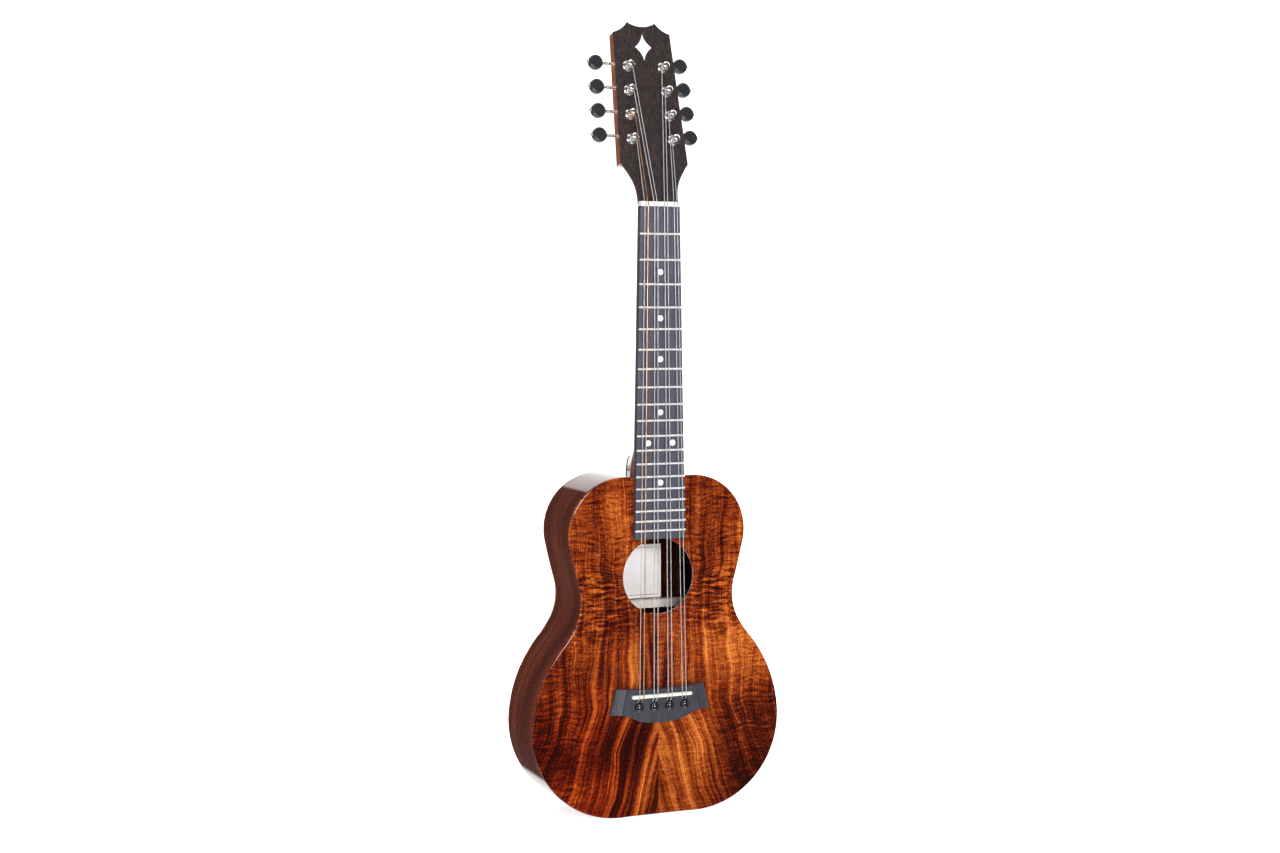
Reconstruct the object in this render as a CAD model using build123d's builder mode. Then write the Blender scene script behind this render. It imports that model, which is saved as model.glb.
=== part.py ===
from build123d import *
from math import asin, atan2, cos, hypot, pi, radians, sin
import os

# Eight-string tenor ukulele, in millimetres.
# The origin is on the centre line at the nut's front edge, in the glue plane between fretboard and neck.
# +Z runs up the neck to the headstock, +Y from the face into the body, +X to the treble side.

# ---- Strings and fretboard ----
scale_length = 432.0
fret_count = 19
joint_fret = 14
nut_width = 38.0
last_fret_width = 48.3
board_thickness = 5.0
board_end_z = -295.3
fret_crown = 1.0
fret_crown_width = 1.7
fret_tang_depth = 1.6
fret_tang_width = 0.5
board_edge_bevel = 0.4
dot_radius = 2.6
dot_depth = 1.0
single_dot_frets = (3, 5, 7, 10, 15)
double_dot_fret = 12
double_dot_offset = 11.7

nut_length = 4.2
nut_height = 7.4
nut_crest_z = 1.2
nut_front_fall = 0.6
nut_back_fall = 1.2
nut_slot_floor = 6.4
nut_slot_slope = 0.235
slot_overrun = 1.5
slot_side_gap = 0.1
course_pitch_nut = 9.3
pair_pitch_nut = 3.0
course_pitch_saddle = 13.8
pair_pitch_saddle = 3.8
string_diameters = (0.70, 0.95, 0.85, 0.80, 0.80, 0.75, 0.70, 0.65)

# ---- Body ----
body_end_z = -545.4
side_depth = 66.5
plate_thickness = 2.2
top_thickness = 2.0
side_thickness = 2.0
back_dome_radius = 4500.0
back_dome_rise = 2.0
edge_round = 1.6
soundhole_z = -329.5
soundhole_radius = 34.0
soundhole_chamfer = 0.3
lining_width = 5.0
lining_height = 9.0
neck_block_length = 22.0
tail_block_length = 15.0
block_width = 62.0

# ---- Bridge ----
bridge_height = 7.5
saddle_z = -435.8
saddle_length = 58.5
saddle_thickness = 3.2
saddle_top = 10.3
saddle_slot_depth = 3.5
saddle_round = 1.3
pin_z = -445.4
pin_pitch = 14.8
pin_hole_radius = 2.65
pin_shaft_radius = 2.6
pin_tip_radius = 2.1
pin_head_radius = 4.3
pin_length = 20.0
pin_string_offset = 1.4
string_bend_height = 5.7
string_gap = 0.05
knot_depth = 5.6
knot_radius = 0.9
string_slot_z = -442.4
pin_slot_width = 4.4
pin_slot_length = 3.8
string_ramp_width = 2.8
bridge_plate_thickness = 1.8

# ---- Neck ----
neck_depth_nut = 13.5
neck_depth_joint = 15.3
bar_width = 6.0
bar_depth = 8.0
bar_top_z = -6.0
bar_bottom_z = -232.0
bolt_radius = 3.0
bolt_depths = (19.0, 45.0)
bolt_reach = 13.0
bolt_hole_reach = 14.0
heel_cap_thickness = 2.2

# ---- Headstock: local x across, u along its face from the nut, w out of its face ----
head_angle = 14.0
head_face_y = -1.9
overlay_thickness = 1.8
head_thickness = 11.0

# ---- Tuning machines ----
first_post_x = 19.9
first_post_u = 61.5
post_pitch = 22.7
row_lean = 2.4
posts_per_side = 4
post_radius = 3.0
post_waist_radius = 2.3
post_height = 10.0
winding_height = 5.5
post_hole_height = 7.6
post_hole_radius = 0.55
winding_turns = 3
running_clearance = 0.05
bushing_hole_radius = 4.0
bushing_flange_radius = 5.0
bushing_depth = 6.0
machine_plate_thickness = 0.9
worm_axis_w = -15.5
worm_offset = 7.5
cog_teeth = 14
cog_pitch_radius = 5.2
cog_thickness = 2.6
worm_pitch = 2 * pi * cog_pitch_radius / cog_teeth
worm_tip_radius = 2.9
worm_shaft_radius = 1.6
worm_turns = 2.5
ear_inner = 3.75
ear_outer = 4.85
button_distance = 24.5
button_radius = 6.75
button_thickness = 6.0
screw_radius = 1.25
screw_length = 7.0
screw_after_post = 13.65
screw_before_first = 9.2

os.makedirs("parts", exist_ok=True)


# ---- Shared geometry ----
def fret_z(number):
    """Height of a fret in the twelve-tone series, measured from the nut's front edge."""
    return -scale_length * (1 - 2 ** (-number / 12))


joint_z = fret_z(joint_fret)
back_inner_y = side_depth - plate_thickness
board_taper = (last_fret_width - nut_width) / -fret_z(fret_count)


def board_width(z):
    return nut_width - board_taper * z


def face_plane(y):
    """A plane parallel to the face at depth y, whose local x and y are X and Z."""
    return Plane(origin=(0, y, 0), x_dir=(1, 0, 0), z_dir=(0, -1, 0))


head_normal = Vector(0, -cos(radians(head_angle)), sin(radians(head_angle)))
head_up = Vector(0, sin(radians(head_angle)), cos(radians(head_angle)))


def head_point(x, u, w):
    return Vector(0, head_face_y, 0) + Vector(x, 0, 0) + head_up * u + head_normal * w


def head_plane(w):
    """A plane parallel to the headstock's face, at height w above it."""
    return Plane(origin=head_point(0, 0, w), x_dir=(1, 0, 0), z_dir=head_normal)


def post_place(side, number):
    """Place of a post on the headstock: side is 1 for treble and -1 for bass, number counts from the nut."""
    run = number * post_pitch
    x = side * (first_post_x - run * sin(radians(row_lean)))
    return x, first_post_u + run * cos(radians(row_lean))


def outward(side):
    """The direction of the worm shafts, out of the headstock's edge."""
    return Vector(1, 0, 0) * side * cos(radians(row_lean)) + head_up * sin(radians(row_lean))


def machine_plane(side, number, w=0.0):
    """A post's own plane: local x points outward and the worm lies at local y = side * worm_offset."""
    x, u = post_place(side, number)
    return Plane(origin=head_point(x, u, w), x_dir=outward(side), z_dir=head_normal)


def machine_point(side, number, x, y, w):
    plane = machine_plane(side, number)
    return plane.origin + plane.x_dir * x + plane.y_dir * y + plane.z_dir * w


stations = [(side, number) for side in (-1, 1) for number in range(posts_per_side)]
string_stations = {1: (-1, 0), 2: (-1, 1), 3: (-1, 2), 4: (-1, 3), 5: (1, 3), 6: (1, 2), 7: (1, 1), 8: (1, 0)}


def string_x(number, course_pitch, pair_pitch):
    """Place of a string across the instrument, string 1 being the outer one on the bass side."""
    course = (number - 1) // 2
    return (course - 1.5) * course_pitch + (number - 1 - 2 * course - 0.5) * pair_pitch


# Half of the body's outline from the neck joint round to the tail, as the ends of its tangent arcs.
bout_arc_ends = [
    (35.0, joint_z),
    (84.2, -300.8),
    (75.5, -335.3),
    (81.1, -374.4),
    (91.0, -387.8),
    (119.7, -455.9),
    (67.4, -539.9),
    (28.5, body_end_z),
]
with BuildSketch() as body_outline:
    with BuildLine():
        stretch = Line((0, joint_z), bout_arc_ends[0])
        for arc_start, arc_end in zip(bout_arc_ends, bout_arc_ends[1:]):
            stretch = TangentArc(arc_start, arc_end, tangent=stretch % 1)
        Line(bout_arc_ends[-1], (0, body_end_z))
        mirror(about=Plane.YZ)
    make_face()

with BuildSketch() as side_inner_outline:
    offset(body_outline.sketch, amount=-side_thickness)

with BuildSketch() as lining_inner_outline:
    offset(body_outline.sketch, amount=-side_thickness - lining_width)

with BuildPart() as chamber:
    with BuildSketch(face_plane(0)):
        add(side_inner_outline.sketch)
    extrude(amount=-side_depth)

with BuildPart() as clear_chamber:
    with BuildSketch(face_plane(0)):
        add(lining_inner_outline.sketch)
    extrude(amount=-side_depth)

pin_places = [((i - 1.5) * pin_pitch, pin_z) for i in range(4)]

# Holes for the bridge pins, each with a slot in front of it for its pair of strings.
with BuildPart() as pin_holes:
    with BuildSketch(face_plane(-saddle_top)):
        with Locations(*pin_places):
            Circle(pin_hole_radius)
            Rectangle(pin_slot_width, pin_slot_length, align=(Align.CENTER, Align.MIN))
    extrude(amount=-2 * saddle_top)

# ---- Soundboard: two book-matched halves glued at the centre line ----
with BuildPart() as soundboard:
    with BuildSketch(face_plane(0)):
        add(body_outline.sketch)
        with Locations((0, soundhole_z)):
            Circle(soundhole_radius, mode=Mode.SUBTRACT)
    extrude(amount=-top_thickness)
    front_face = soundboard.faces().sort_by(Axis.Y)[0]
    fillet(front_face.outer_wire().edges(), edge_round)
    round_edges = soundboard.edges().filter_by(GeomType.CIRCLE)
    hole_edges = round_edges.filter_by(lambda edge: edge.radius == soundhole_radius)
    chamfer(hole_edges.sort_by(Axis.Y)[0], soundhole_chamfer)
    add(pin_holes.part, mode=Mode.SUBTRACT)
    split(bisect_by=Plane.YZ, keep=Keep.BOTH)
soundboard.part.label = "soundboard"
export_step(soundboard.part, "parts/soundboard.step")

# ---- Back: two halves, domed outside ----
dome_centre_y = side_depth + back_dome_rise - back_dome_radius
with BuildPart() as back:
    with BuildSketch(face_plane(back_inner_y)):
        add(body_outline.sketch)
    extrude(amount=-plate_thickness - back_dome_rise)
    with Locations((0, dome_centre_y, (joint_z + body_end_z) / 2)):
        Sphere(back_dome_radius, mode=Mode.INTERSECT)
    split(bisect_by=Plane.YZ, keep=Keep.BOTH)
back.part.label = "back"
export_step(back.part, "parts/back.step")

# ---- Sides, linings and end blocks ----
# The bolt holes run through the block and the sides and end blind in the heel.
block_inner_z = joint_z - side_thickness - neck_block_length
with BuildPart() as neck_bolt_holes:
    for depth in bolt_depths:
        with BuildSketch(Plane.XY.offset(joint_z + bolt_hole_reach)):
            with Locations((0, depth)):
                Circle(bolt_radius)
        extrude(amount=block_inner_z - joint_z - 2 * bolt_hole_reach)

with BuildPart() as sides:
    with BuildSketch(face_plane(top_thickness)):
        add(body_outline.sketch)
        add(side_inner_outline.sketch, mode=Mode.SUBTRACT)
    extrude(amount=-(back_inner_y - top_thickness))
    add(neck_bolt_holes.part, mode=Mode.SUBTRACT)

with BuildPart() as side_bass:
    add(sides.part)
    split(bisect_by=Plane.YZ, keep=Keep.BOTTOM)
side_bass.part.label = "side_bass"
export_step(side_bass.part, "parts/side_bass.step")

with BuildPart() as side_treble:
    add(sides.part)
    split(bisect_by=Plane.YZ, keep=Keep.TOP)
side_treble.part.label = "side_treble"
export_step(side_treble.part, "parts/side_treble.step")

block_height = back_inner_y - top_thickness
with BuildPart() as neck_block:
    with BuildSketch(face_plane(top_thickness)):
        with Locations((0, joint_z - side_thickness)):
            Rectangle(block_width, neck_block_length, align=(Align.CENTER, Align.MAX))
    extrude(amount=-block_height)
    add(chamber.part, mode=Mode.INTERSECT)
    add(neck_bolt_holes.part, mode=Mode.SUBTRACT)
neck_block.part.label = "neck_block"
export_step(neck_block.part, "parts/neck_block.step")

with BuildPart() as tail_block:
    with BuildSketch(face_plane(top_thickness)):
        with Locations((0, body_end_z + side_thickness)):
            Rectangle(block_width, tail_block_length, align=(Align.CENTER, Align.MIN))
    extrude(amount=-block_height)
    add(chamber.part, mode=Mode.INTERSECT)
tail_block.part.label = "tail_block"
export_step(tail_block.part, "parts/tail_block.step")

# Linings: strips glued into the corners between the sides and the plates, cut off at the two blocks.
with BuildPart() as linings:
    for depth in (top_thickness, back_inner_y - lining_height):
        with BuildSketch(face_plane(depth)):
            add(side_inner_outline.sketch)
            add(lining_inner_outline.sketch, mode=Mode.SUBTRACT)
            with Locations((0, joint_z), (0, body_end_z)):
                Rectangle(block_width, 2 * neck_block_length, mode=Mode.SUBTRACT)
        extrude(amount=-lining_height)
linings.part.label = "linings"
export_step(linings.part, "parts/linings.step")


# ---- Braces ----
brace_end_height = 2.0
brace_taper = 22.0


def brace_outline(half_length, height):
    """A brace seen from its side, tapered at both ends, standing on the local x axis."""
    Polyline(
        (-half_length, 0),
        (-half_length, brace_end_height),
        (-half_length + brace_taper, height),
        (half_length - brace_taper, height),
        (half_length, brace_end_height),
        (half_length, 0),
        close=True,
    )


brace_width = 7.0
top_bar_stations = ((-289.0, 77.0, 9.0), (-373.0, 72.0, 9.0))
fan_height = 6.0
fan_length = 128.0
fan_middle_z = -455.0
fan_lean = 7.0
fan_spread = 36.0
fan_width = 5.0
patch_distance = 44.0
patch_width = 14.0
patch_length = 60.0
patch_thickness = 1.6
bridge_plate_width = 118.0
bridge_plate_length = 36.0
bridge_plate_z = -445.0
bridge_plate_bevel = 0.8

with BuildPart() as bridge_plate:
    with BuildSketch(face_plane(top_thickness)):
        with Locations((0, bridge_plate_z)):
            Rectangle(bridge_plate_width, bridge_plate_length)
    extrude(amount=-bridge_plate_thickness)
    chamfer(bridge_plate.faces().sort_by(Axis.Y)[-1].edges(), bridge_plate_bevel)
    add(pin_holes.part, mode=Mode.SUBTRACT)
bridge_plate.part.label = "bridge_plate"
export_step(bridge_plate.part, "parts/bridge_plate.step")

with BuildPart() as top_braces:
    for z, half_length, height in top_bar_stations:
        with BuildSketch(Plane(origin=(0, top_thickness, z), x_dir=(1, 0, 0), z_dir=(0, 0, 1))):
            with BuildLine():
                brace_outline(half_length, height)
            make_face()
        extrude(amount=brace_width / 2, both=True)
    for side in (-1, 0, 1):
        lean = radians(side * fan_lean)
        fan_middle = (side * fan_spread, top_thickness, fan_middle_z)
        fan_along = (sin(lean), 0, -cos(lean))
        with BuildSketch(Plane(origin=fan_middle, x_dir=fan_along, z_dir=(cos(lean), 0, sin(lean)))):
            with BuildLine():
                brace_outline(fan_length / 2, fan_height)
            make_face()
        extrude(amount=fan_width / 2, both=True)
    with BuildSketch(face_plane(top_thickness)):
        with Locations((-patch_distance, soundhole_z), (patch_distance, soundhole_z)):
            Rectangle(patch_width, patch_length)
    extrude(amount=-patch_thickness)
    add(clear_chamber.part, mode=Mode.INTERSECT)
    add(bridge_plate.part, mode=Mode.SUBTRACT)
top_braces.part.label = "top_braces"
export_step(top_braces.part, "parts/top_braces.step")

back_bar_stations = ((-281.0, 76.0, 10.0), (-363.0, 66.0, 10.0), (-430.0, 104.0, 11.0), (-497.0, 102.0, 10.0))
seam_strip_width = 15.0
seam_strip_thickness = 2.0
seam_strip_spans = ((-367.0, -426.0), (-434.0, -493.0), (-501.0, -528.0))
with BuildPart() as back_braces:
    for z, half_length, height in back_bar_stations:
        with BuildSketch(Plane(origin=(0, back_inner_y, z), x_dir=(1, 0, 0), z_dir=(0, 0, -1))):
            with BuildLine():
                brace_outline(half_length, height)
            make_face()
        extrude(amount=brace_width / 2, both=True)
    with BuildSketch(face_plane(back_inner_y)):
        for high, low in seam_strip_spans:
            with Locations((0, (high + low) / 2)):
                Rectangle(seam_strip_width, high - low)
    extrude(amount=seam_strip_thickness)
    add(clear_chamber.part, mode=Mode.INTERSECT)
back_braces.part.label = "back_braces"
export_step(back_braces.part, "parts/back_braces.step")

label_width = 64.0
label_height = 50.0
label_thickness = 0.15
label_centre = (-2.0, -333.5)
with BuildPart() as label:
    with BuildSketch(face_plane(back_inner_y)):
        with Locations(label_centre):
            Rectangle(label_width, label_height)
    extrude(amount=label_thickness)
label.part.label = "label"
export_step(label.part, "parts/label.step")

# ---- Bridge ----
bridge_corner = (42.2, -428.3)
bridge_top_middle = (0, -430.2)
bridge_foot = (48.2, -451.2)
bridge_belly_start = (39.5, -451.6)
bridge_belly_middle = (22.0, -457.8)
bridge_belly_low = (0, -460.4)
wing_step_top = (33.0, -429.7)
wing_step_lean = 12.5
wing_step_height = 5.9
wing_low_height = 4.2
wing_tip_height = 4.6
wing_cut_length = 40.0
wing_scoop_width = 16.0
bridge_round = 1.5
string_ramp_floor = 4.9
string_ramp_end_z = -438.7

wing_along = Vector(sin(radians(wing_step_lean)), 0, -cos(radians(wing_step_lean)))
wing_across = Vector(cos(radians(wing_step_lean)), 0, sin(radians(wing_step_lean)))
with BuildPart() as wing_cutter:
    step_origin = (wing_step_top[0], 0, wing_step_top[1])
    with BuildSketch(Plane(origin=step_origin, x_dir=wing_across, z_dir=wing_along)):
        with BuildLine():
            scoop = ThreePointArc(
                (0, wing_step_height),
                (0.44 * wing_scoop_width, wing_low_height),
                (wing_scoop_width, wing_tip_height),
            )
            Polyline(scoop @ 1, (wing_scoop_width, bridge_height + 1), (0, bridge_height + 1), scoop @ 0)
        make_face()
    extrude(amount=wing_cut_length, both=True)

with BuildPart() as bridge:
    with BuildSketch(face_plane(0)):
        with BuildLine():
            Polyline(bridge_corner, bridge_foot, bridge_belly_start)
            Spline(bridge_belly_start, bridge_belly_middle, bridge_belly_low, tangents=((-1, -0.05), (-1, 0)))
            mirror(about=Plane.YZ)
            ThreePointArc(bridge_corner, bridge_top_middle, (-bridge_corner[0], bridge_corner[1]))
        make_face()
    extrude(amount=bridge_height)
    add(wing_cutter.part, mode=Mode.SUBTRACT)
    add(wing_cutter.part.mirror(Plane.YZ), mode=Mode.SUBTRACT)
    belly_edges = bridge.edges().filter_by(GeomType.BSPLINE).group_by(Axis.Y)[0]
    fillet(belly_edges, bridge_round)
    with BuildSketch(face_plane(-bridge_height)):
        with Locations((0, saddle_z)):
            SlotOverall(saddle_length, saddle_thickness)
    extrude(amount=-saddle_slot_depth, mode=Mode.SUBTRACT)
    with BuildSketch(face_plane(-bridge_height)):
        for number in range(1, 9):
            course = (number - 1) // 2
            pin_side = -1 if number % 2 else 1
            with Locations(((course - 1.5) * pin_pitch + pin_side * pin_string_offset, pin_z)):
                Rectangle(string_ramp_width, string_ramp_end_z - pin_z, align=(Align.CENTER, Align.MIN))
    extrude(amount=-(bridge_height - string_ramp_floor), mode=Mode.SUBTRACT)
    add(pin_holes.part, mode=Mode.SUBTRACT)
bridge.part.label = "bridge"
export_step(bridge.part, "parts/bridge.step")

with BuildPart() as saddle:
    with BuildSketch(face_plane(-(bridge_height - saddle_slot_depth))):
        with Locations((0, saddle_z)):
            SlotOverall(saddle_length, saddle_thickness)
    extrude(amount=saddle_top - bridge_height + saddle_slot_depth)
    fillet(saddle.faces().sort_by(Axis.Y)[0].edges(), saddle_round)
saddle.part.label = "saddle"
export_step(saddle.part, "parts/saddle.step")

# Bridge pins: tapered shanks with a collar and a domed head.
pin_collar_height = 0.9
pin_dome_base = 1.3
pin_dome_radius = 3.6
pin_dome_height = 2.5
pin_rim = 0.3


def dome_middle(base, radius, height):
    """Height of a dome's surface half-way out, for a cap that stands on base and is part of a sphere."""
    sphere_radius = (radius**2 + height**2) / (2 * height)
    return base + height - sphere_radius + (sphere_radius**2 - radius**2 / 4) ** 0.5


with BuildPart() as bridge_pin:
    with BuildSketch(Plane.XZ):
        with BuildLine():
            Polyline(
                (0, -pin_length),
                (pin_tip_radius, -pin_length),
                (pin_shaft_radius, 0),
                (pin_head_radius - pin_rim, 0),
                (pin_head_radius, pin_rim),
                (pin_head_radius, pin_collar_height),
                (pin_dome_radius, pin_dome_base),
            )
            cap = ThreePointArc(
                (pin_dome_radius, pin_dome_base),
                (pin_dome_radius / 2, dome_middle(pin_dome_base, pin_dome_radius, pin_dome_height)),
                (0, pin_dome_base + pin_dome_height),
            )
            Line(cap @ 1, (0, -pin_length))
        make_face()
    revolve(axis=Axis.Z)
pin_planes = [Plane(origin=(x, -bridge_height, z), x_dir=(1, 0, 0), z_dir=(0, -1, 0)) for x, z in pin_places]
bridge_pins = Compound(
    label="bridge_pins",
    children=[bridge_pin.part.moved(Location(plane)) for plane in pin_planes],
)
export_step(bridge_pins, "parts/bridge_pins.step")

# ---- Fretboard, frets and dots ----
board_front = face_plane(-board_thickness)
with BuildPart() as fretboard:
    with BuildSketch(face_plane(0)):
        Polygon(
            (-nut_width / 2, 0),
            (-board_width(board_end_z) / 2, board_end_z),
            (board_width(board_end_z) / 2, board_end_z),
            (nut_width / 2, 0),
            align=None,
        )
    extrude(amount=board_thickness)
    long_edges = fretboard.faces().sort_by(Axis.Y)[0].edges().filter_by(Axis.X, reverse=True)
    chamfer(long_edges, board_edge_bevel)
    for number in range(1, fret_count + 1):
        with BuildSketch(board_front):
            with Locations((0, fret_z(number))):
                Rectangle(nut_width + 2 * last_fret_width, fret_tang_width)
        extrude(amount=-fret_tang_depth, mode=Mode.SUBTRACT)
    with BuildSketch(board_front):
        for number in single_dot_frets:
            with Locations((0, (fret_z(number) + fret_z(number - 1)) / 2)):
                Circle(dot_radius)
        with Locations((0, (fret_z(double_dot_fret) + fret_z(double_dot_fret - 1)) / 2)):
            with GridLocations(2 * double_dot_offset, 0, 2, 1):
                Circle(dot_radius)
    extrude(amount=-dot_depth, mode=Mode.SUBTRACT)
fretboard.part.label = "fretboard"
export_step(fretboard.part, "parts/fretboard.step")

with BuildPart() as position_dots:
    with BuildSketch(board_front):
        for number in single_dot_frets:
            with Locations((0, (fret_z(number) + fret_z(number - 1)) / 2)):
                Circle(dot_radius)
        with Locations((0, (fret_z(double_dot_fret) + fret_z(double_dot_fret - 1)) / 2)):
            with GridLocations(2 * double_dot_offset, 0, 2, 1):
                Circle(dot_radius)
    extrude(amount=-dot_depth)
position_dots.part.label = "position_dots"
export_step(position_dots.part, "parts/position_dots.step")

with BuildPart() as frets:
    for number in range(1, fret_count + 1):
        z = fret_z(number)
        half_width = board_width(z) / 2
        fret_end = (-half_width, -board_thickness, z)
        with BuildSketch(Plane(origin=fret_end, x_dir=(0, 0, 1), z_dir=(1, 0, 0))):
            with BuildLine():
                Polyline(
                    (-fret_crown_width / 2, 0),
                    (-fret_tang_width / 2, 0),
                    (-fret_tang_width / 2, -fret_tang_depth),
                    (fret_tang_width / 2, -fret_tang_depth),
                    (fret_tang_width / 2, 0),
                    (fret_crown_width / 2, 0),
                )
                ThreePointArc((-fret_crown_width / 2, 0), (0, fret_crown), (fret_crown_width / 2, 0))
            make_face()
        extrude(amount=2 * half_width)
frets.part.label = "frets"
export_step(frets.part, "parts/frets.step")

# ---- Strings' routes: knot under the bridge, saddle, nut and post ----
nut_bend_z = 0.4
nut_gap = 0.08


def saddle_bend(radius):
    """The corner of the string's route over the saddle's rounded edge, and the radius that it bends to."""
    wrap = saddle_round + radius + string_gap
    centre_z = saddle_z - saddle_thickness / 2 + saddle_round
    centre_height = saddle_top - saddle_round
    run = centre_z - string_slot_z
    rise = centre_height - string_bend_height
    climb = atan2(rise, run) + asin(wrap / hypot(run, rise))
    height = centre_height + wrap
    z = string_slot_z + (height - string_bend_height) * cos(climb) / sin(climb)
    return height, z, wrap


def post_tangent(nut_point, side, number, reach):
    """Where a string from the nut meets the inner side of its turns, at distance reach from the axis."""
    along = nut_point - head_point(0, 0, 0)
    nut_u = along.dot(head_up)
    x, u = post_place(side, number)
    distance = hypot(x - nut_point.X, u - nut_u)
    angle = atan2(u - nut_u, x - nut_point.X) + side * asin(reach / distance)
    length = (distance**2 - reach**2) ** 0.5
    return head_point(nut_point.X + length * cos(angle), nut_u + length * sin(angle), winding_height)


def nut_bend(number):
    """The corner of a string's route in its nut slot."""
    height = nut_slot_floor + string_diameters[number - 1] / 2 + nut_gap
    return Vector(string_x(number, course_pitch_nut, pair_pitch_nut), -height, nut_bend_z)


def winding_meeting(number):
    """The point where a string meets its turns on the post."""
    side, station = string_stations[number]
    reach = post_waist_radius + string_gap + string_diameters[number - 1] / 2
    return post_tangent(nut_bend(number), side, station, reach)


# ---- Nut ----
with BuildPart() as nut:
    with BuildSketch(Plane.YZ.offset(-nut_width / 2)):
        with BuildLine():
            crown = ThreePointArc(
                (-nut_height + nut_front_fall, 0),
                (-nut_height, nut_crest_z),
                (-nut_height + nut_back_fall, nut_length),
            )
            Polyline(crown @ 1, (0, nut_length), (0, 0), crown @ 0)
        make_face()
    extrude(amount=nut_width)
    for number, diameter in enumerate(string_diameters, start=1):
        bend = nut_bend(number)
        heading = winding_meeting(number) - bend
        across_slot = Vector(heading.Z, 0, -heading.X).normalized()
        with BuildSketch(Plane(origin=(bend.X, 0, nut_bend_z), x_dir=(0, 1, 0), z_dir=across_slot)):
            Polygon(
                (-nut_slot_floor, -slot_overrun),
                (-nut_slot_floor, -nut_bend_z),
                (-nut_slot_floor + nut_slot_slope * (nut_length + slot_overrun), nut_length + slot_overrun),
                (-nut_height - 1, nut_length + slot_overrun),
                (-nut_height - 1, -slot_overrun),
                align=None,
            )
        extrude(amount=diameter / 2 + slot_side_gap, both=True, mode=Mode.SUBTRACT)
nut.part.label = "nut"
export_step(nut.part, "parts/nut.step")

# ---- Headstock outline and what goes through it ----
head_foot_width = 32.3
head_foot_u = 39.3
head_tip_width = 27.3
head_shoulder_u = 157.5
head_corner = (27.2, 162.0)
head_shoulder_middle = (19.6, 165.6)
head_peak = (13.45, 171.8)
head_valley = (0, 167.9)
head_root_u = -12.0
flare_start_u = 5.0
flare_points = ((21.8, 22.6), (26.2, 30.8))
with BuildSketch() as head_outline:
    with BuildLine():
        root = Line((nut_width / 2, head_root_u), (nut_width / 2, flare_start_u))
        flare = Spline(root @ 1, *flare_points, (head_foot_width, head_foot_u), tangents=((0, 1), (1, 1.1)))
        Polyline(flare @ 1, (head_tip_width, head_shoulder_u), head_corner)
        ThreePointArc(head_corner, head_shoulder_middle, head_peak)
        mirror(about=Plane.YZ)
        ThreePointArc(head_peak, head_valley, (-head_peak[0], head_peak[1]))
        Line((nut_width / 2, head_root_u), (-nut_width / 2, head_root_u))
    make_face()

with BuildPart() as bushing_holes:
    for side, number in stations:
        with BuildSketch(machine_plane(side, number, 1.0)):
            Circle(bushing_hole_radius)
        extrude(amount=-head_thickness - 2.0)

screw_runs = [-screw_before_first] + [i * post_pitch + screw_after_post for i in range(posts_per_side)]
screw_planes = []
for side in (-1, 1):
    row = machine_plane(side, 0, -head_thickness - machine_plate_thickness)
    for run in screw_runs:
        screw_place = row.origin + row.y_dir * side * run
        screw_planes.append(Plane(origin=screw_place, x_dir=row.x_dir, z_dir=-row.z_dir))

with BuildPart() as screw_holes:
    for plane in screw_planes:
        with BuildSketch(plane):
            Circle(screw_radius)
        extrude(amount=-screw_length)

# The wood ends at the glue planes under the fretboard, the nut and the headstock's veneer.
space_width = 100.0
space_length = 220.0
space_height = 20.0
with BuildPart() as veneer_space:
    with BuildSketch(head_plane(-overlay_thickness)):
        with Locations((0, head_shoulder_u / 2)):
            Rectangle(space_width, space_length)
    extrude(amount=space_height)
    split(bisect_by=Plane.XY.offset(nut_length), keep=Keep.TOP)

with BuildPart() as front_space:
    with BuildSketch(face_plane(0)):
        with Locations((0, nut_length)):
            Rectangle(space_width, space_length, align=(Align.CENTER, Align.MAX))
    extrude(amount=space_height)

# ---- Neck ----
heel_sections = (
    (0, 46.2, 58.0),
    (8, 45.8, 50.0),
    (16, 43.0, 37.0),
    (28, 34.0, 25.5),
    (44, 21.5, 20.0),
    (56, 14.0, 17.0),
    (back_inner_y, 8.5, 14.5),
)
ramp_front = -3.0
ramp_back_at_nut = 13.1
ramp_back_at_slab = head_thickness - overlay_thickness
flare_sections = 5


def ramp_section(half_width, depth):
    """A section across the ramp behind the nut: half an ellipse, with a block on its front."""
    EllipticalCenterArc((0, 0), half_width, depth, start_angle=0, arc_size=180)
    Polyline(
        (-half_width, 0),
        (-half_width, ramp_front),
        (half_width, ramp_front),
        (half_width, 0),
    )


# The neck's round back runs on behind the nut and widens with the flare, up to the headstock's slab.
with BuildPart() as neck_ramp:
    with BuildSketch(Plane.XY):
        with BuildLine():
            ramp_section(nut_width / 2, neck_depth_nut)
        make_face()
    for index in range(flare_sections):
        half_width, u = tuple(flare @ (index / (flare_sections - 1)))[:2]
        depth = ramp_back_at_nut + (ramp_back_at_slab - ramp_back_at_nut) * u / head_foot_u
        with BuildSketch(Plane(origin=head_point(0, u, -overlay_thickness), x_dir=(1, 0, 0), z_dir=head_up)):
            with BuildLine():
                ramp_section(half_width, depth)
            make_face()
    loft()

with BuildPart() as head_slab:
    with BuildSketch(head_plane(-overlay_thickness)):
        add(head_outline.sketch)
        with Locations((0, head_foot_u)):
            Rectangle(space_width, space_length, align=(Align.CENTER, Align.MIN), mode=Mode.INTERSECT)
    extrude(amount=-(head_thickness - overlay_thickness))

with BuildPart() as heel:
    for depth, width, length in heel_sections:
        with BuildSketch(Plane(origin=(0, depth, joint_z), x_dir=(-1, 0, 0), z_dir=(0, 1, 0))):
            with BuildLine():
                EllipticalCenterArc((0, 0), width / 2, length, start_angle=0, arc_size=180)
                Line((-width / 2, 0), (width / 2, 0))
            make_face()
    loft()

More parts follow.
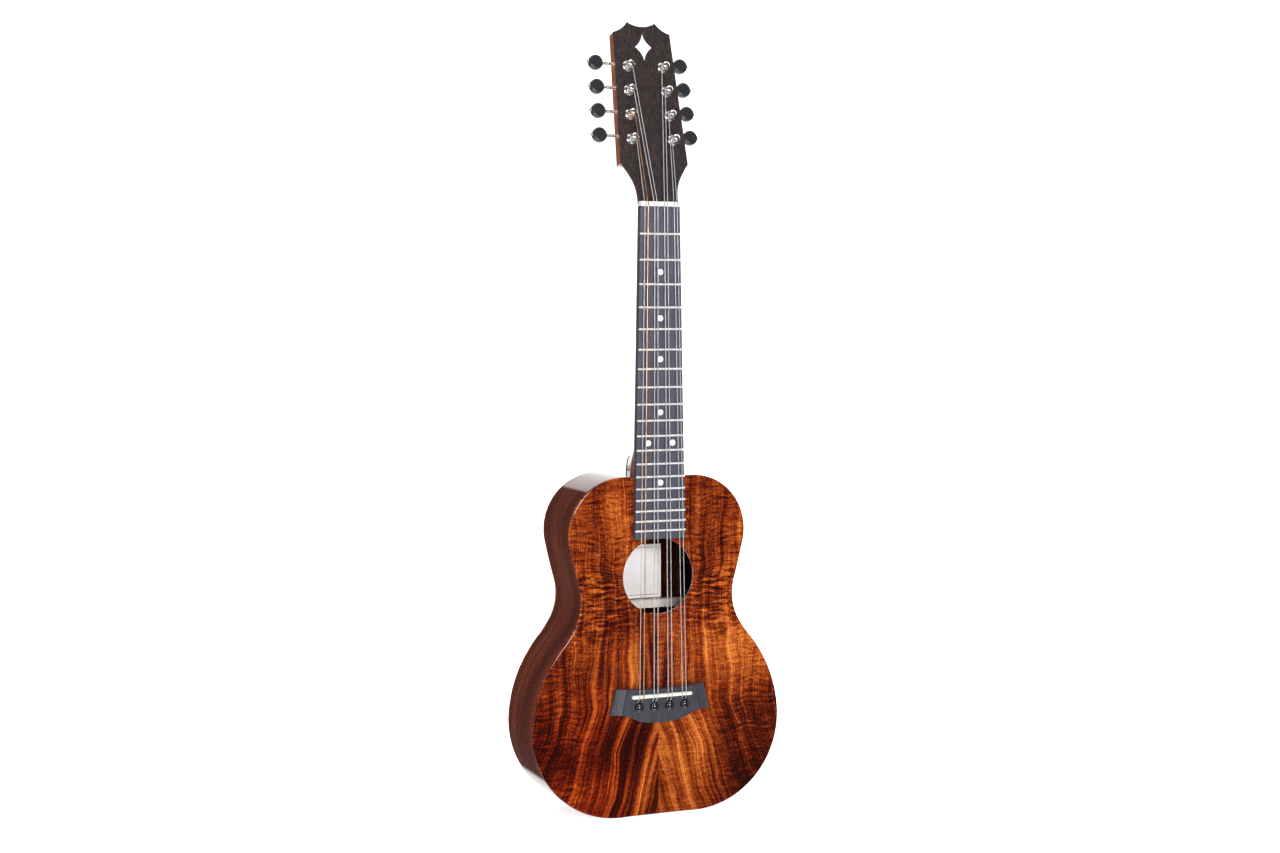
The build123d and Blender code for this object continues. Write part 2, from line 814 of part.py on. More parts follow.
with BuildPart() as neck:
    for z, depth in ((0, neck_depth_nut), (joint_z, neck_depth_joint)):
        with BuildSketch(Plane.XY.offset(z)):
            with BuildLine():
                EllipticalCenterArc((0, 0), board_width(z) / 2, depth, start_angle=0, arc_size=180)
                Line((-board_width(z) / 2, 0), (board_width(z) / 2, 0))
            make_face()
    loft(ruled=True)
    add(heel.part)
    add(neck_ramp.part)
    add(head_slab.part)
    add(veneer_space.part, mode=Mode.SUBTRACT)
    add(front_space.part, mode=Mode.SUBTRACT)
    with BuildSketch(face_plane(0)):
        with Locations((0, (bar_top_z + bar_bottom_z) / 2)):
            Rectangle(bar_width, bar_top_z - bar_bottom_z)
    extrude(amount=-bar_depth, mode=Mode.SUBTRACT)
    add(neck_bolt_holes.part, mode=Mode.SUBTRACT)
    add(bushing_holes.part, mode=Mode.SUBTRACT)
    add(screw_holes.part, mode=Mode.SUBTRACT)
neck.part.label = "neck"
export_step(neck.part, "parts/neck.step")

with BuildPart() as neck_bar:
    with BuildSketch(face_plane(0)):
        with Locations((0, (bar_top_z + bar_bottom_z) / 2)):
            Rectangle(bar_width, bar_top_z - bar_bottom_z)
    extrude(amount=-bar_depth)
neck_bar.part.label = "neck_bar"
export_step(neck_bar.part, "parts/neck_bar.step")

bolt_head_radius = 5.0
bolt_head_height = 4.0
bolt_socket_radius = 2.5
heel_cap_width, heel_cap_length = heel_sections[-1][1:]
with BuildPart() as neck_bolts:
    for depth in bolt_depths:
        with BuildSketch(Plane.XY.offset(block_inner_z)):
            with Locations((0, depth)):
                Circle(bolt_radius)
        extrude(amount=joint_z + bolt_reach - block_inner_z)
        with BuildSketch(Plane.XY.offset(block_inner_z)):
            with Locations((0, depth)):
                Circle(bolt_head_radius)
                RegularPolygon(bolt_socket_radius, 6, mode=Mode.SUBTRACT)
        extrude(amount=-bolt_head_height)
neck_bolts.part.label = "neck_bolts"
export_step(neck_bolts.part, "parts/neck_bolts.step")

with BuildPart() as heel_cap:
    with BuildSketch(Plane(origin=(0, back_inner_y, joint_z), x_dir=(-1, 0, 0), z_dir=(0, 1, 0))):
        with BuildLine():
            EllipticalCenterArc((0, 0), heel_cap_width / 2, heel_cap_length, start_angle=0, arc_size=180)
            Line((-heel_cap_width / 2, 0), (heel_cap_width / 2, 0))
        make_face()
    extrude(amount=heel_cap_thickness)
heel_cap.part.label = "heel_cap"
export_step(heel_cap.part, "parts/heel_cap.step")

# ---- Headstock veneer and its pearl inlay, a four-pointed diamond with hollow sides ----
inlay_u = 148.5
inlay_half_width = 8.0
inlay_half_height = 12.5
inlay_waist = 0.39
inlay_depth = 0.8
inlay_corners = [
    (inlay_half_width, inlay_u),
    (0, inlay_u + inlay_half_height),
    (-inlay_half_width, inlay_u),
    (0, inlay_u - inlay_half_height),
]
with BuildSketch() as inlay_outline:
    with BuildLine():
        for corner, next_corner in zip(inlay_corners, inlay_corners[1:] + inlay_corners[:1]):
            hollow_x = inlay_waist * (corner[0] + next_corner[0])
            hollow_u = inlay_u + inlay_waist * (corner[1] + next_corner[1] - 2 * inlay_u)
            ThreePointArc(corner, (hollow_x, hollow_u), next_corner)
    make_face()

with BuildPart() as headstock_inlay:
    with BuildSketch(head_plane(0)):
        add(inlay_outline.sketch)
    extrude(amount=-inlay_depth)
headstock_inlay.part.label = "headstock_inlay"
export_step(headstock_inlay.part, "parts/headstock_inlay.step")

with BuildPart() as headstock_veneer:
    with BuildSketch(head_plane(-overlay_thickness)):
        add(head_outline.sketch)
    extrude(amount=overlay_thickness)
    split(bisect_by=Plane.XY.offset(nut_length), keep=Keep.TOP)
    add(bushing_holes.part, mode=Mode.SUBTRACT)
    add(headstock_inlay.part, mode=Mode.SUBTRACT)
headstock_veneer.part.label = "headstock_veneer"
export_step(headstock_veneer.part, "parts/headstock_veneer.step")

# ---- Tuning machines, each modelled once on the plane of its post ----
post_bearing_w = -head_thickness - machine_plate_thickness
cog_near_w = worm_axis_w + cog_thickness / 2
cog_far_w = worm_axis_w - cog_thickness / 2
cog_hub_radius = 2.2
collar_radius = 3.4
cog_root_radius = 4.5
cog_tip_radius = 5.8
tooth_root_width = 1.0
tooth_tip_width = 0.4
tooth_root_inset = 0.3
waist_low = 3.6
waist_high = 8.2
waist_low_taper = 0.7
waist_high_taper = 0.6
post_shoulder_drop = 0.9
post_dome_middle = (0.76 * post_radius, post_height - 0.25)
cog_screw_radius = 0.9
cog_screw_length = 3.5
cog_screw_head_radius = 2.0
cog_screw_head_height = 1.5
cog_screw_bevel = 0.4
screw_slot_width = 0.6
screw_slot_depth = 0.7

with BuildPart() as post_body:
    with BuildSketch(Plane.XZ):
        with BuildLine():
            shaft = Polyline(
                (0, cog_far_w),
                (cog_hub_radius, cog_far_w),
                (cog_hub_radius, cog_near_w),
                (collar_radius, cog_near_w),
                (collar_radius, post_bearing_w - running_clearance),
                (post_radius, post_bearing_w - running_clearance),
                (post_radius, waist_low - waist_low_taper),
                (post_waist_radius, waist_low),
                (post_waist_radius, waist_high),
                (post_radius, waist_high + waist_high_taper),
                (post_radius, post_height - post_shoulder_drop),
            )
            dome = ThreePointArc(shaft @ 1, post_dome_middle, (post_radius / 2, post_height))
            Polyline(dome @ 1, (0, post_height), (0, cog_far_w))
        make_face()
    revolve(axis=Axis.Z)
    with BuildSketch(Plane.YZ.offset(-2 * post_radius)):
        with Locations((0, post_hole_height)):
            Circle(post_hole_radius)
    extrude(amount=4 * post_radius, mode=Mode.SUBTRACT)
    with BuildSketch(Plane.XY.offset(cog_far_w)):
        Circle(cog_screw_radius)
    extrude(amount=cog_screw_length, mode=Mode.SUBTRACT)

with BuildPart() as cog:
    with BuildSketch(Plane.XY.offset(cog_far_w)):
        Circle(cog_root_radius)
        with PolarLocations(0, cog_teeth, start_angle=90):
            Polygon(
                (cog_root_radius - tooth_root_inset, -tooth_root_width / 2),
                (cog_tip_radius, -tooth_tip_width / 2),
                (cog_tip_radius, tooth_tip_width / 2),
                (cog_root_radius - tooth_root_inset, tooth_root_width / 2),
                align=None,
            )
        Circle(cog_hub_radius, mode=Mode.SUBTRACT)
    extrude(amount=cog_thickness)

with BuildPart() as cog_screw:
    with BuildSketch(Plane.XY.offset(cog_far_w)):
        Circle(cog_screw_head_radius)
    extrude(amount=-cog_screw_head_height)
    chamfer(cog_screw.faces().sort_by(Axis.Z)[0].edges(), cog_screw_bevel)
    with BuildSketch(Plane.XY.offset(cog_far_w - cog_screw_head_height)):
        Rectangle(2 * cog_screw_head_radius, screw_slot_width)
    extrude(amount=screw_slot_depth, mode=Mode.SUBTRACT)
    with BuildSketch(Plane.XY.offset(cog_far_w)):
        Circle(cog_screw_radius)
    extrude(amount=cog_screw_length)

# The worm's own frame: Z out of the headstock's edge, -Y towards the cog.
worm_root_radius = 1.5
worm_root_width = 1.1
worm_tip_width = 0.5
shaft_inner_end = -6.0
shaft_bevel = 0.4
shaft_nub_length = 1.2
shaft_nub_bevel = 0.5
button_bore_radius = 1.2
button_inner = button_distance - button_radius
button_outer = button_distance + button_radius
button_flat_depth = 0.5
button_rim = 1.5
button_socket_gap = 0.4
button_socket_depth = 3.0
with BuildPart() as worm_shaft:
    with BuildSketch(Plane.XZ):
        with BuildLine():
            Polyline(
                (0, shaft_inner_end),
                (worm_shaft_radius - shaft_bevel, shaft_inner_end),
                (worm_shaft_radius, shaft_inner_end + shaft_bevel),
                (worm_shaft_radius, button_inner + button_flat_depth),
                (button_bore_radius, button_inner + button_flat_depth),
                (button_bore_radius, button_outer - button_flat_depth),
                (worm_shaft_radius, button_outer - button_flat_depth),
                (worm_shaft_radius, button_outer + shaft_nub_length - shaft_nub_bevel),
                (worm_shaft_radius - shaft_nub_bevel, button_outer + shaft_nub_length),
                (0, button_outer + shaft_nub_length),
                close=True,
            )
        make_face()
    revolve(axis=Axis.Z)
    thread_start = (0, 0, -worm_turns * worm_pitch / 2)
    with BuildLine(Plane(origin=thread_start)) as thread_line:
        Helix(worm_pitch, worm_turns * worm_pitch, (worm_root_radius + worm_tip_radius) / 2)
    thread_depth = worm_tip_radius - worm_root_radius
    with BuildSketch(Plane(origin=thread_line.line @ 0, x_dir=(1, 0, 0), z_dir=thread_line.line % 0)):
        Polygon(
            (-thread_depth / 2, -worm_root_width / 2),
            (thread_depth / 2, -worm_tip_width / 2),
            (thread_depth / 2, worm_tip_width / 2),
            (-thread_depth / 2, worm_root_width / 2),
            align=None,
        )
    sweep(path=thread_line.line, is_frenet=True)

# The button is round seen from the headstock's face, with softened rims; its bore takes the shaft.
with BuildPart() as button:
    with BuildSketch(Plane.YZ):
        with Locations((0, button_distance)):
            Circle(button_radius)
    extrude(amount=button_thickness / 2, both=True)
    fillet(button.edges().filter_by(GeomType.CIRCLE), button_rim)
    with BuildSketch(Plane.XY):
        Circle(button_bore_radius)
    extrude(amount=2 * button_distance, mode=Mode.SUBTRACT)
    for end, way in ((button_inner + button_flat_depth, -1), (button_outer - button_flat_depth, 1)):
        with BuildSketch(Plane.XY.offset(end)):
            Circle(worm_shaft_radius + button_socket_gap)
        extrude(amount=way * button_socket_depth, mode=Mode.SUBTRACT)

for index, (side, number) in enumerate(stations, start=1):
    post_location = Location(machine_plane(side, number))
    node = Compound(
        label=f"string_post_{index}",
        children=[piece.part.moved(post_location) for piece in (post_body, cog, cog_screw)],
    )
    export_step(node, f"parts/string_post_{index}.step")
    worm_origin = machine_point(side, number, 0, side * worm_offset, worm_axis_w)
    from_cog = machine_plane(side, number).y_dir * side
    across_worm = from_cog.cross(outward(side))
    worm_location = Location(Plane(origin=worm_origin, x_dir=across_worm, z_dir=outward(side)))
    placed_shaft = worm_shaft.part.moved(worm_location)
    placed_shaft.label = f"worm_shaft_{index}"
    export_step(placed_shaft, f"parts/worm_shaft_{index}.step")
    placed_button = button.part.moved(worm_location)
    placed_button.label = f"tuner_button_{index}"
    export_step(placed_button, f"parts/tuner_button_{index}.step")

# Machine plates: one strip a side, with a pair of ears for each worm shaft.
plate_outer = 8.0
plate_inner = -7.5
plate_start = -13.0
plate_end_after_last = 17.5
plate_corner = 3.0
ear_half_width = 2.75
ear_height = post_bearing_w - worm_axis_w
row_length = (posts_per_side - 1) * post_pitch
with BuildPart() as tuner_plates:
    for side in (-1, 1):
        row = machine_plane(side, 0, -head_thickness)
        middle = side * (plate_start + row_length + plate_end_after_last) / 2
        with BuildSketch(row):
            with Locations(((plate_inner + plate_outer) / 2, middle)):
                plate_length = row_length + plate_end_after_last - plate_start
                RectangleRounded(plate_outer - plate_inner, plate_length, plate_corner)
            with Locations(*[(0, side * i * post_pitch) for i in range(posts_per_side)]):
                Circle(post_radius + running_clearance, mode=Mode.SUBTRACT)
            with Locations(*[(0, side * run) for run in screw_runs]):
                Circle(screw_radius, mode=Mode.SUBTRACT)
        extrude(amount=-machine_plate_thickness)
        for number in range(posts_per_side):
            for near in (ear_inner, -ear_outer):
                ear_origin = machine_point(side, number, near, side * worm_offset, worm_axis_w)
                with BuildSketch(Plane(origin=ear_origin, x_dir=row.y_dir, z_dir=outward(side))):
                    Circle(ear_half_width)
                    Rectangle(2 * ear_half_width, ear_height, align=(Align.CENTER, Align.MIN))
                    Circle(worm_shaft_radius + running_clearance, mode=Mode.SUBTRACT)
                extrude(amount=ear_outer - ear_inner)
tuner_plates.part.label = "tuner_plates"
export_step(tuner_plates.part, "parts/tuner_plates.step")

bushing_rim_height = 0.8
bushing_rim_round = 0.3
bushing_height = 1.9
bushing_slope_width = 0.7
with BuildPart() as bushing:
    with BuildSketch(Plane.XZ):
        with BuildLine():
            Polyline(
                (post_radius + running_clearance, -bushing_depth),
                (bushing_hole_radius, -bushing_depth),
                (bushing_hole_radius, 0),
                (bushing_flange_radius, 0),
                (bushing_flange_radius, bushing_rim_height),
                (bushing_flange_radius - bushing_rim_round, bushing_rim_height + bushing_rim_round),
                (bushing_flange_radius - bushing_rim_round - bushing_slope_width, bushing_height),
                (post_radius + running_clearance, bushing_height),
                close=True,
            )
        make_face()
    revolve(axis=Axis.Z)
tuner_bushings = Compound(
    label="tuner_bushings",
    children=[bushing.part.moved(Location(machine_plane(side, number))) for side, number in stations],
)
export_step(tuner_bushings, "parts/tuner_bushings.step")

screw_head_radius = 2.2
screw_rim = 0.3
screw_dome_height = 0.9
screw_point_radius = 0.45
screw_point_length = 1.6
cross_length = 2.4
cross_width = 0.5
cross_depth = 0.6
screw_head_height = screw_rim + screw_dome_height
with BuildPart() as plate_screw:
    with BuildSketch(Plane.XZ):
        with BuildLine():
            Polyline(
                (0, -screw_length),
                (screw_point_radius, -screw_length),
                (screw_radius, -screw_length + screw_point_length),
                (screw_radius, 0),
                (screw_head_radius, 0),
                (screw_head_radius, screw_rim),
            )
            screw_cap = ThreePointArc(
                (screw_head_radius, screw_rim),
                (screw_head_radius / 2, dome_middle(screw_rim, screw_head_radius, screw_dome_height)),
                (0, screw_head_height),
            )
            Line(screw_cap @ 1, (0, -screw_length))
        make_face()
    revolve(axis=Axis.Z)
    with BuildSketch(Plane.XY.offset(screw_head_height)):
        Rectangle(cross_length, cross_width)
        Rectangle(cross_width, cross_length)
    extrude(amount=-cross_depth, mode=Mode.SUBTRACT)
tuner_screws = Compound(
    label="tuner_screws",
    children=[plate_screw.part.moved(Location(plane)) for plane in screw_planes],
)
export_step(tuner_screws, "parts/tuner_screws.step")


# ---- Strings: each is a tube from its knot under the bridge to its post, and its turns on the post ----
bend_radius_pin = 1.2
bend_radius_nut = 4.0
span_end_gap = 3.0
for number, diameter in enumerate(string_diameters, start=1):
    radius = diameter / 2
    side, station = string_stations[number]
    course = (number - 1) // 2
    pin_x = (course - 1.5) * pin_pitch + (number - 1 - 2 * course - 0.5) * 2 * pin_string_offset
    saddle_height, bend_z, wrap = saddle_bend(radius)
    saddle_x = string_x(number, course_pitch_saddle, pair_pitch_saddle)
    nut_point = nut_bend(number)
    meeting = winding_meeting(number)
    span_end = meeting - (meeting - nut_point).normalized() * span_end_gap
    with BuildPart() as span:
        with BuildLine() as route:
            FilletPolyline(
                (pin_x, knot_depth, string_slot_z),
                (pin_x, -string_bend_height, string_slot_z),
                (saddle_x, -saddle_height, bend_z),
                nut_point,
                span_end,
                radius=[bend_radius_pin, wrap, bend_radius_nut],
            )
        with BuildSketch(Plane(origin=route.line @ 0, z_dir=route.line % 0)):
            Circle(radius)
        sweep(path=route.line)
        with Locations((pin_x, knot_depth, string_slot_z)):
            Sphere(knot_radius)
    with BuildPart() as winding:
        with BuildSketch(Plane.XZ):
            with Locations((post_waist_radius + string_gap, winding_height)):
                Rectangle(radius, winding_turns * diameter, align=(Align.MIN, Align.CENTER))
            with Locations((post_waist_radius + string_gap + radius, winding_height)):
                with GridLocations(1, diameter, 1, winding_turns):
                    Circle(radius)
        revolve(axis=Axis.Z)
    node = Compound(
        label=f"string_{number}",
        children=[span.part, winding.part.moved(Location(machine_plane(side, station)))],
    )
    export_step(node, f"parts/string_{number}.step")
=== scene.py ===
import math

import bpy
from mathutils import Matrix, Vector


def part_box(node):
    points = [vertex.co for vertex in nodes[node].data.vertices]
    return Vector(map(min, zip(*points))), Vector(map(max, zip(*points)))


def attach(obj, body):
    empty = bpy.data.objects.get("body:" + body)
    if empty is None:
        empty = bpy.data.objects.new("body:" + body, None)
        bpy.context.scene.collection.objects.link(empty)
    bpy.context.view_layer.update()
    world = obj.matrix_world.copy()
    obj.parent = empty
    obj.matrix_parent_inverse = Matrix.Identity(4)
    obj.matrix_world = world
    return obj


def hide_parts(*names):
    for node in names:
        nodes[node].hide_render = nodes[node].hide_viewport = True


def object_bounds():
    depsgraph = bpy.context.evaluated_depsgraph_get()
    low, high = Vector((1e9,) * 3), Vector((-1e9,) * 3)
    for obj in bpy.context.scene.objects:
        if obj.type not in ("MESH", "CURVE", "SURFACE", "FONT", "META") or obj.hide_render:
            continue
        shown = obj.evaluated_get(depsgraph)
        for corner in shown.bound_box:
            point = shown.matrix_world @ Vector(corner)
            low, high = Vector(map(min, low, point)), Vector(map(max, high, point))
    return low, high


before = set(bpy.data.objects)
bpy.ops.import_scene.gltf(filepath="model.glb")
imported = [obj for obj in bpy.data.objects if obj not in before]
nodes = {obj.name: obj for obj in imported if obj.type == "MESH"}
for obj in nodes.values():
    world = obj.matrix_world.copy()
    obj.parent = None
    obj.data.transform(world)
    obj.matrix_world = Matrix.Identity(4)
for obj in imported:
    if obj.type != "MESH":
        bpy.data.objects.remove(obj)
cad_low, cad_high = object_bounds()

MM = 0.001

# ---- Driving dimensions of the strings' routes, in metres; they repeat the CAD model's ----
STRING_DIAMETERS = [d * MM for d in (0.70, 0.95, 0.85, 0.80, 0.80, 0.75, 0.70, 0.65)]
WOUND_STRING = 2
COURSES = 4
COURSE_PITCH_NUT, PAIR_PITCH_NUT = 9.3 * MM, 3.0 * MM
COURSE_PITCH_SADDLE, PAIR_PITCH_SADDLE = 13.8 * MM, 3.8 * MM
PIN_PITCH, PIN_STRING_OFFSET = 14.8 * MM, 1.4 * MM
STRING_SLOT_Z, STRING_BEND_HEIGHT, KNOT_DEPTH = -442.4 * MM, 5.7 * MM, 5.6 * MM
SADDLE_Z, SADDLE_THICKNESS, SADDLE_TOP, SADDLE_ROUND = -435.8 * MM, 3.2 * MM, 10.3 * MM, 1.3 * MM
NUT_SLOT_FLOOR, NUT_BEND_Z, NUT_GAP, STRING_GAP = 6.4 * MM, 0.4 * MM, 0.08 * MM, 0.05 * MM
BEND_RADIUS_PIN, BEND_RADIUS_NUT = 1.2 * MM, 4.0 * MM
HEAD_ANGLE, HEAD_FACE_Y = math.radians(14), -1.9 * MM
FIRST_POST_X, FIRST_POST_U, POST_PITCH, ROW_LEAN = 19.9 * MM, 61.5 * MM, 22.7 * MM, math.radians(2.4)
POSTS_PER_SIDE = 4
POST_WAIST_RADIUS, WINDING_HEIGHT, POST_HOLE_HEIGHT = 2.3 * MM, 5.5 * MM, 7.6 * MM
STRING_STATIONS = {1: (-1, 0), 2: (-1, 1), 3: (-1, 2), 4: (-1, 3), 5: (1, 3), 6: (1, 2), 7: (1, 1), 8: (1, 0)}

HEAD_NORMAL = Vector((0, -math.cos(HEAD_ANGLE), math.sin(HEAD_ANGLE)))
HEAD_UP = Vector((0, math.sin(HEAD_ANGLE), math.cos(HEAD_ANGLE)))


# ---- Materials: a small helper that adds nodes to one material ----
class Surface:
    """A Principled material whose constant values sit on the shader's own sockets."""

    def __init__(self, name, **constants):
        self.material = bpy.data.materials.new(name)
        self.material.use_nodes = True
        self.tree = self.material.node_tree
        self.shader = self.tree.nodes["Principled BSDF"]
        for socket, value in constants.items():
            self.shader.inputs[socket.replace("_", " ")].default_value = value
        self.position = self.add("ShaderNodeTexCoord").outputs["Object"]

    def add(self, kind, inputs=None, **settings):
        node = self.tree.nodes.new(kind)
        for key, value in settings.items():
            setattr(node, key, value)
        for key, value in (inputs or {}).items():
            if isinstance(value, bpy.types.NodeSocket):
                self.tree.links.new(value, node.inputs[key])
            else:
                node.inputs[key].default_value = value
        return node

    def math(self, operation, a, b=0.0, c=0.0, clamp=False):
        return self.add("ShaderNodeMath", {0: a, 1: b, 2: c}, operation=operation, use_clamp=clamp).outputs[0]

    def axes(self, vector=None):
        return self.add("ShaderNodeSeparateXYZ", {0: vector or self.position}).outputs

    def join(self, x, y, z):
        return self.add("ShaderNodeCombineXYZ", {0: x, 1: y, 2: z}).outputs[0]

    def scaled(self, vector, scale):
        return self.add("ShaderNodeVectorMath", {0: vector, 1: scale}, operation="MULTIPLY").outputs[0]

    def noise(self, vector, scale=1.0, detail=2.0, roughness=0.5, distortion=0.0):
        inputs = {"Vector": vector, "Scale": scale, "Detail": detail}
        inputs |= {"Roughness": roughness, "Distortion": distortion}
        return self.add("ShaderNodeTexNoise", inputs).outputs["Fac"]

    def swing(self, base, figure, depth):
        """The base, plus depth times how far a figure that runs from 0 to 1 stands from its middle."""
        return self.math("MULTIPLY_ADD", self.math("SUBTRACT", figure, 0.5), depth, base)

    def step(self, value, low, high):
        """0 below low and 1 above high, smoothly between. Low may be the larger of the two."""
        inputs = {"Value": value, "From Min": low, "From Max": high}
        return self.add("ShaderNodeMapRange", inputs, interpolation_type="SMOOTHSTEP").outputs[0]

    def span(self, value, low, high, to_low, to_high):
        inputs = {"Value": value, "From Min": low, "From Max": high, "To Min": to_low, "To Max": to_high}
        return self.add("ShaderNodeMapRange", inputs).outputs[0]

    def ramp(self, value, stops):
        node = self.add("ShaderNodeValToRGB", {0: value})
        elements = node.color_ramp.elements
        while len(elements) < len(stops):
            elements.new(0.5)
        for element, (place, colour) in zip(elements, stops):
            element.position = place
            element.color = (*colour, 1)
        return node.outputs[0]

    def mix(self, factor, a, b, blend="MIX"):
        node = self.add("ShaderNodeMix", data_type="RGBA", blend_type=blend)
        for index, value in ((0, factor), (6, a), (7, b)):
            if isinstance(value, bpy.types.NodeSocket):
                self.tree.links.new(value, node.inputs[index])
            else:
                node.inputs[index].default_value = (*value, 1) if isinstance(value, tuple) else value
        return node.outputs[2]

    def brighten(self, colour, factor):
        """The colour times a grey factor, which is a socket."""
        return self.scaled(colour, self.join(factor, factor, factor))

    def bump(self, height, distance, strength=1.0):
        inputs = {"Height": height, "Distance": distance, "Strength": strength}
        normal = self.add("ShaderNodeBump", inputs).outputs[0]
        self.tree.links.new(normal, self.shader.inputs["Normal"])

    def paint(self, colour=None, roughness=None):
        if colour is not None:
            self.tree.links.new(colour, self.shader.inputs["Base Color"])
        if roughness is not None:
            self.tree.links.new(roughness, self.shader.inputs["Roughness"])
        return self.material


# In the materials, places and widths are in metres, and a noise has roughly its scale in patches a metre.
KOA_STOPS = [
    (0.24, (0.013, 0.0008, 0.0003)),
    (0.38, (0.070, 0.0062, 0.0006)),
    (0.50, (0.180, 0.0280, 0.0040)),
    (0.62, (0.330, 0.0770, 0.0110)),
    (0.80, (0.580, 0.1880, 0.0380)),
]
KOA_SIDE_STOPS = [
    (0.26, (0.030, 0.0040, 0.0012)),
    (0.46, (0.060, 0.0095, 0.0034)),
    (0.60, (0.092, 0.0175, 0.0066)),
    (0.80, (0.150, 0.0360, 0.0150)),
]
KOA_GLOSS = {"Coat_Weight": 1.0, "Coat_IOR": 1.5, "Specular_IOR_Level": 0.0}
KOA_RELIEF = 0.00004


def koa_top():
    """Book-matched figured koa under thick gloss: halves that mirror each other but differ in tone."""
    s = Surface("koa_top", Coat_Roughness=0.035, **KOA_GLOSS)
    x, _, z = s.axes()
    across = s.math("ABSOLUTE", x)
    treble = s.step(x, -0.0002, 0.0002)
    folded = s.join(across, 0.0, z)

    def by_half(bass_value, treble_value):
        """One value on the bass half and another on the treble half."""
        return s.span(treble, 0, 1, bass_value, treble_value)

    def around(centre_x, centre_z, radius):
        """1 at a place on both halves, fading to 0 at radius."""
        away = s.join(s.math("SUBTRACT", across, centre_x), 0.0, s.math("SUBTRACT", z, centre_z))
        distance = s.add("ShaderNodeVectorMath", {0: away}, operation="LENGTH").outputs["Value"]
        return s.step(distance, radius, radius * 0.35)

    # Straight grain: bands, stripes and fine lines, which lean outwards under the bridge.
    lean_start_z = -0.445
    drift = s.math("SUBTRACT", s.noise(folded, scale=13, detail=2.0), 0.5)
    under_bridge = s.math("MINIMUM", s.math("SUBTRACT", z, lean_start_z), 0.0)
    line = s.math("MULTIPLY_ADD", under_bridge, by_half(0.30, 0.34), across)
    line = s.math("MULTIPLY_ADD", drift, 0.024, line)
    bands = s.noise(s.scaled(s.join(line, treble, z), (70, 1, 2.0)), detail=1.5)
    stripes = s.noise(s.scaled(s.join(line, treble, z), (150, 1, 3.0)), detail=4.5, roughness=0.68)
    fine_lines = s.noise(s.scaled(s.join(line, 0.0, z), (800, 1, 14)), detail=2.5, roughness=0.65)
    pores = s.noise(s.scaled(s.join(line, 0.0, z), (2600, 1, 150)), detail=1.0)

    # Curl: short waves across the grain, a fine ripple on them, and flecks along the grain.
    wavy = s.join(across, 0.0, s.math("MULTIPLY_ADD", s.noise(folded, scale=30, detail=2.0), 0.013, z))
    curl = s.noise(s.scaled(wavy, (58, 1, 380)), detail=3.0, roughness=0.66)
    ripple = s.noise(s.scaled(wavy, (190, 1, 1250)), detail=2.5, roughness=0.65)
    flecks = s.noise(s.scaled(folded, (1500, 1, 300)), detail=2.0, roughness=0.65)
    patches = s.noise(s.join(across, s.math("MULTIPLY", treble, 0.06), z), scale=17, detail=1.0)

    # Regions: the plain middle of the lower bout, the curly waist, and places that are lighter or darker.
    middle = s.math("MULTIPLY", s.step(across, 0.088, 0.050), s.step(z, -0.355, -0.430))
    waist = around(0.062, -0.352, 0.046)
    gold = around(0.024, -0.478, 0.052)
    low_edge = s.math("MULTIPLY", s.step(across, 0.045, 0.095), s.step(z, -0.39, -0.46))
    upper_treble = s.math("MULTIPLY", treble, s.step(z, -0.32, -0.27))
    beside_seam = s.math("MULTIPLY", s.math("SUBTRACT", 1.0, treble), around(0.0, -0.495, 0.050))
    right_middle = s.math("MULTIPLY", treble, around(0.082, -0.405, 0.060))
    red_side = s.math("MULTIPLY", s.step(x, 0.0, -0.05), s.step(z, -0.40, -0.47))

    # The tone runs through the colour stops, and each region and figure moves it.
    middle_tone = 0.432
    stripe_depth = s.span(s.math("MULTIPLY", middle, by_half(1.0, 0.45)), 0, 1, 0.70, 1.45)
    curl_depth = s.math("MULTIPLY_ADD", waist, 0.75, s.span(middle, 0, 1, 0.66, by_half(0.12, 0.34)))
    band_depth = s.span(middle, 0, 1, 0.25, by_half(0.58, 0.30))
    tone = s.math("MULTIPLY_ADD", low_edge, by_half(-0.105, -0.12), middle_tone)
    for region, lift in ((upper_treble, -0.04), (beside_seam, -0.05), (right_middle, 0.15), (waist, -0.02)):
        tone = s.math("MULTIPLY_ADD", region, lift, tone)
    tone = s.math("MULTIPLY_ADD", gold, by_half(-0.06, 0.10), tone)
    figures = ((bands, band_depth), (stripes, stripe_depth), (curl, curl_depth))
    fine_figures = ((fine_lines, 0.42), (ripple, 0.42), (flecks, 0.52), (patches, 0.42))
    for figure, depth in figures + fine_figures:
        tone = s.swing(tone, figure, depth)

    stained = s.ramp(tone, KOA_STOPS)
    stained = s.mix(red_side, stained, s.scaled(stained, (1.0, 0.66, 0.50)))
    colour = s.brighten(stained, s.span(pores, 0.60, 0.72, 1.0, 0.62))
    s.bump(fine_lines, KOA_RELIEF, 0.2)
    return s.paint(colour, s.span(curl, 0.3, 0.7, 0.42, 0.30))


def koa_side():
    """Plain dark koa bent round the ribs, its grain running along them, under the same gloss."""
    s = Surface("koa_side", Coat_Roughness=0.04, **KOA_GLOSS)
    x, y, z = s.axes()
    height = s.math("MULTIPLY_ADD", s.noise(s.position, scale=7, detail=1.0), 0.007, y)
    along_rib = s.join(x, height, z)
    grain = s.noise(s.scaled(along_rib, (4, 72, 4)), detail=2.0)
    streaks = s.noise(s.scaled(along_rib, (9, 190, 9)), detail=1.5)
    s.bump(streaks, KOA_RELIEF, 0.25)
    return s.paint(s.ramp(s.swing(grain, streaks, 0.60), KOA_SIDE_STOPS), s.span(grain, 0.3, 0.7, 0.40, 0.30))


